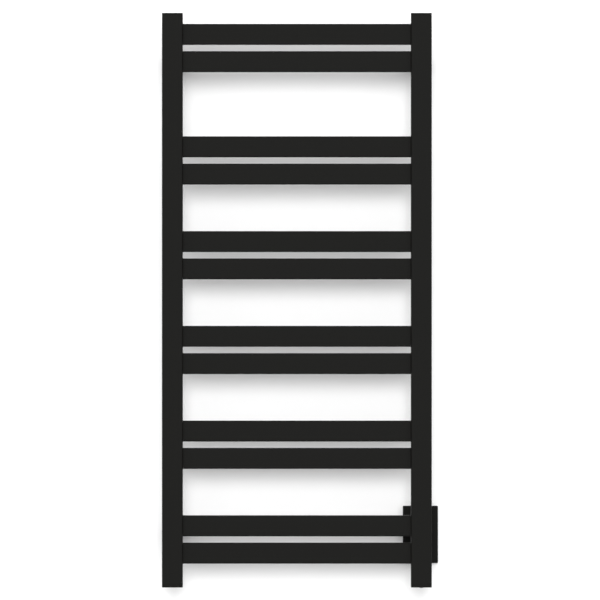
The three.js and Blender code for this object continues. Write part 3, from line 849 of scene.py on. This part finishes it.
def cold_joint():
    box = Box("cold_joint")
    profile = crimped(box.low.z, box.high.z, box.size.x / 2, 3.3)
    return turned(profile, UP, (box.centre.x, box.centre.y, 0))


def cable_end_seal():
    """A cap shrunk on the cable's end, its closed end rounded."""
    box = Box("cable_end_seal")
    wide, nose = 4, 3
    profile = [(wide - 1, box.low.x), (wide, box.low.x + 1.5), (wide, box.high.x - nose)]
    for a in quarter_turn(10)[1:9]:
        profile.append((wide * math.cos(a), box.high.x - nose + nose * math.sin(a)))
    return turned(profile, ACROSS, (0, box.centre.y, box.centre.z))


def terminal_block():
    """Three poles, each with a screw well at both ends, and a groove between the poles."""
    box = Box("terminal_block")
    x, y, _ = box.centre
    face, low, high = -box.low.y, box.low.z, box.high.z
    shape = prism(rounded(box.size.x, box.size.y, 1.5), low, high, UP, (x, y, 0))
    well, groove = circle(TERMINAL["well"], 32), rounded(0.8, 3, 0.2)
    cuts = []
    for pole in (-TERMINAL["pole"], 0, TERMINAL["pole"]):
        for z in (low + TERMINAL["well_inset"], high - TERMINAL["well_inset"]):
            at = (x + pole, 0, z)
            cuts.append(prism(well, face - TERMINAL["well_depth"], face + PAST, OUT, at))
    for rib in (-TERMINAL["rib"], TERMINAL["rib"]):
        cuts.append(prism(groove, low + 1, high - 1, UP, (x + rib, box.low.y, 0)))
    return break_edges(cut(shape, *cuts), FINE_EDGE)


def overheat_cutout():
    box = Box("overheat_cutout")
    edge = quarter(0.6)

    def ring(inset, z):
        return rounded(box.size.x - 2 * inset, box.size.y - 2 * inset, 1.3), z

    low = [ring(inset, box.low.z + drop) for inset, drop in edge]
    high = [ring(inset, box.high.z - drop) for inset, drop in reversed(edge)]
    return loft(low + high, UP, (box.centre.x, box.centre.y, 0))


def leads():
    """The leads between the fixed pieces: each one's name, radius, bend radius and corners."""
    at = bracket_at(WIRED)
    block, cutout, joint = Box("terminal_block"), Box("overheat_cutout"), Box("cold_joint")
    supply, switch = Box("supply_lead"), Box("switch_lead")
    post_x, post_y = at[0], Box("right_post").centre.y
    y = post_y - 5
    yield "supply_lead", SUPPLY_RADIUS, 10, [
        (post_x, supply.high.y, at[2]),
        (post_x, y, at[2]),
        (post_x, y, block.low.z - GAP),
    ]

    x, y = post_x + 13.5, post_y + 3
    blade = (post_x + BLADE_X, post_y)
    yield "switch_lead", WIRE_RADIUS, 5, [
        (x, y, block.low.z - GAP),
        (x, y, switch.low.z + 19),
        (*blade, switch.low.z + 11),
        (*blade, switch.low.z),
    ]

    x, y = cutout.centre.x, cutout.centre.y
    yield "cutout_lead", WIRE_RADIUS, 6, [
        (x, y + 3, block.low.z - GAP),
        (x, y + 3, block.low.z - 10),
        (x, y, cutout.high.z + 10),
        (x, y, cutout.high.z + GAP),
    ]

    low = joint.low.z - 8
    yield "cold_lead", WIRE_RADIUS, 4.5, [
        (x, y, cutout.low.z - GAP),
        (x, y, low),
        (joint.centre.x, joint.centre.y, low),
        (joint.centre.x, joint.centre.y, joint.low.z - GAP),
    ]


def earth_lead():
    """A ring lug on the post's inner face, its barrel crimped on the wire to the terminals."""
    screw, block = Box("earth_screw"), Box("terminal_block")
    x, z = screw.centre.x, screw.centre.z
    near = -Box("earth_lead").high.y
    far = near + 1.2
    ring = prism(circle(4.2), near, far, OUT, (x, 0, z))
    tongue = prism(rounded(3, 12, 0.4), near, far, OUT, (x, 0, z - 8))
    lug_hole = prism(circle(EARTH_HOLE), near - PAST, far + PAST, OUT, (x, 0, z))
    lug = break_edges(cut(fuse(ring, tongue), lug_hole), 0.15)
    y, wire_y = Box("right_post").centre.y, -far - GAP
    corners = [(x, wire_y, z - 9), (x, wire_y, z - 16), (x, y, z - 20), (x, y, block.high.z + GAP)]
    sleeve = [(1.45, -15.5), (1.65, -15.1), (1.65, -10.9), (1.45, -10.5)]
    barrel = turned(sleeve, UP, (x, wire_y, z))
    return fuse(lug, sweep(route(corners, 2.5), WIRE_RADIUS), barrel)


# ------------------------------------------------------------------ every piece


for side in COLUMNS:
    dress(f"{side}_post", post(side))
for name in BARS:
    dress(name, crossbar(name))
for name in ("top_left_cap", "top_right_cap", "bottom_left_cap"):
    dress(name, end_cap(name))
for where in CORNERS:
    dress(f"leg_{where}", leg(where))
    dress(f"wall_stub_{where}", wall_stub(where))
    dress(f"leg_bolt_{where}", leg_bolt(where))
    dress(f"set_screw_{where}", set_screw(where))
    if where != WIRED:
        dress(f"rosette_{where}", rosette(where))
dress("junction_cover", junction_cover())
for name in COVER_SCREWS:
    dress(name, cover_screw(name))
dress("lead_bushing", lead_bushing())
for name, shape in switch_pieces():
    piece = dress(name, shape)
    if name == "switch_spring":
        low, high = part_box(name)
        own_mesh(piece)
dress("heating_cable", heating_cable())
dress("cold_joint", cold_joint())
dress("cable_end_seal", cable_end_seal())
dress("terminal_block", terminal_block())
dress("overheat_cutout", overheat_cutout())
for name, radius, bend, corners in leads():
    dress(name, sweep(route(corners, bend), radius))
dress("earth_lead", earth_lead())
dress("earth_screw", earth_screw())


# ------------------------------------------------------------------ the studio


def stage_paint(name, dark, light, rough):
    """Matt paint on the side that faces the object. From the other side, the sheet doesn't show."""
    m = Nodes(name)
    m.colour(m.noise(3.0), dark, light)
    m.roughness(m.noise(30.0), *rough)
    m.bump(m.noise(500.0), 0.00005)
    mix = m.add("ShaderNodeMixShader")
    m.join(m.add("ShaderNodeNewGeometry").outputs["Backfacing"], mix.inputs["Fac"])
    m.join(m.shader.outputs["BSDF"], mix.inputs[1])
    m.join(m.add("ShaderNodeBsdfTransparent").outputs["BSDF"], mix.inputs[2])
    m.join(mix.outputs["Shader"], m.tree.nodes["Material Output"].inputs["Surface"])
    return m.material


def stage_sheet(name, corners, material):
    """A flat sheet that takes shadows and holds no light off the object's back."""
    mesh = bpy.data.meshes.new(name)
    mesh.from_pydata(corners, [], [(0, 1, 2, 3)])
    mesh.materials.append(material)
    sheet = bpy.data.objects.new(name, mesh)
    sheet.visible_diffuse = sheet.visible_glossy = sheet.visible_shadow = False
    bpy.context.scene.collection.objects.link(sheet)


WALL_Y, FLOOR_Z, ROOM = 0.0006, -0.95, 6.0
ends = (-ROOM, ROOM, ROOM, -ROOM)
stage_sheet(
    "wall",
    [(x, WALL_Y, z) for x, z in zip(ends, (FLOOR_Z, FLOOR_Z, ROOM, ROOM))],
    stage_paint("wall_paint", (0.86, 0.86, 0.86), (0.88, 0.88, 0.88), (0.85, 0.95)),
)
stage_sheet(
    "floor",
    [(x, y, FLOOR_Z) for x, y in zip(ends, (-ROOM, -ROOM, ROOM, ROOM))],
    stage_paint("floor_paint", (0.78, 0.78, 0.77), (0.82, 0.82, 0.81), (0.7, 0.85)),
)

KEY_ENERGY, KEY_ELEVATION, KEY_SPREAD = 1.68, math.radians(13.6), math.radians(24)
key = bpy.data.lights.new("key", "SUN")
key.energy, key.angle = KEY_ENERGY, KEY_SPREAD
lamp = bpy.data.objects.new("key", key)
lamp.rotation_euler = (math.pi / 2 - KEY_ELEVATION, 0, 0)
bpy.context.scene.collection.objects.link(lamp)

# White light from all round, brighter from above than from below, and brighter still from the
# side of the wall, which throws the room's light back at the rail.
FILL, FILL_ABOVE, FILL_WALL = 1.15, 0.8, 0.45
world = bpy.data.worlds.new("room")
world.use_nodes = True
bpy.context.scene.world = world
sky = world.node_tree
background = sky.nodes["Background"]
background.inputs["Color"].default_value = (1, 1, 1, 1)
parts = sky.nodes.new("ShaderNodeSeparateXYZ")
sky.links.new(sky.nodes.new("ShaderNodeTexCoord").outputs["Generated"], parts.inputs["Vector"])
total = sky.nodes.new("ShaderNodeMath")
total.operation = "ADD"
ranges = (("Z", -1, FILL - FILL_ABOVE, FILL + FILL_ABOVE), ("Y", 0, 0, FILL_WALL))
for number, (axis, start, low, high) in enumerate(ranges):
    level = sky.nodes.new("ShaderNodeMapRange")
    set_range(level, start, 1, low, high)
    sky.links.new(parts.outputs[axis], level.inputs["Value"])
    sky.links.new(level.outputs["Result"], total.inputs[number])
sky.links.new(total.outputs["Value"], background.inputs["Strength"])
bpy.context.scene.view_settings.view_transform = "Standard"
bpy.context.scene.view_settings.look = "None"

CAMERA_DISTANCE, SENSOR_WIDTH = 12.0, 36.0
VIEW_WIDTH = 1.186  # of the picture, at the rail's front, in metres
VIEW_CENTRE = (0.0062, 0.0004)  # x and z
camera = bpy.data.objects.new("camera", bpy.data.cameras.new("camera"))
bpy.context.scene.collection.objects.link(camera)
bpy.context.scene.camera = camera
camera.location = (VIEW_CENTRE[0], cad_bounds[0].y - CAMERA_DISTANCE, VIEW_CENTRE[1])
camera.rotation_euler = (math.pi / 2, 0, 0)
camera.data.sensor_width = SENSOR_WIDTH
camera.data.lens = SENSOR_WIDTH * CAMERA_DISTANCE / VIEW_WIDTH
camera.data.clip_end = 5 * CAMERA_DISTANCE
